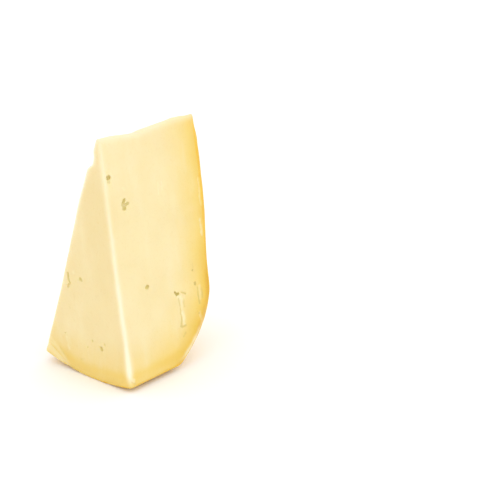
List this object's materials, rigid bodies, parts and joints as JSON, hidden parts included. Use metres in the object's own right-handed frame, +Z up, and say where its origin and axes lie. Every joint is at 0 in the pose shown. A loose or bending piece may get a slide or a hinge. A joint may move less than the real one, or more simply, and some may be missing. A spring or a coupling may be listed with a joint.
{
  "type": "cheese wedge",
  "caption": "Tall wedge of semi-hard cheese with small irregular eyes and a smooth rind on its rounded shoulder, standing tip up on the rim.",
  "frame": {"origin": "on the standing surface, at the centre of the bounding box", "axes": "+Z up, from the rim that the wedge stands on to its tip; +X along the wheel's axis, from the level split to the flat rind face; the ridge between the split and the front cut faces -Y"},
  "size_m": [0.0654, 0.0596, 0.1196],
  "materials": {
    "cheese": "soft matte cut paste, pale cream yellow, deepening to a satin golden rind"
  },
  "bodies": {
    "root": {"cheese_wedge": "cheese"}
  },
  "joints": []
}
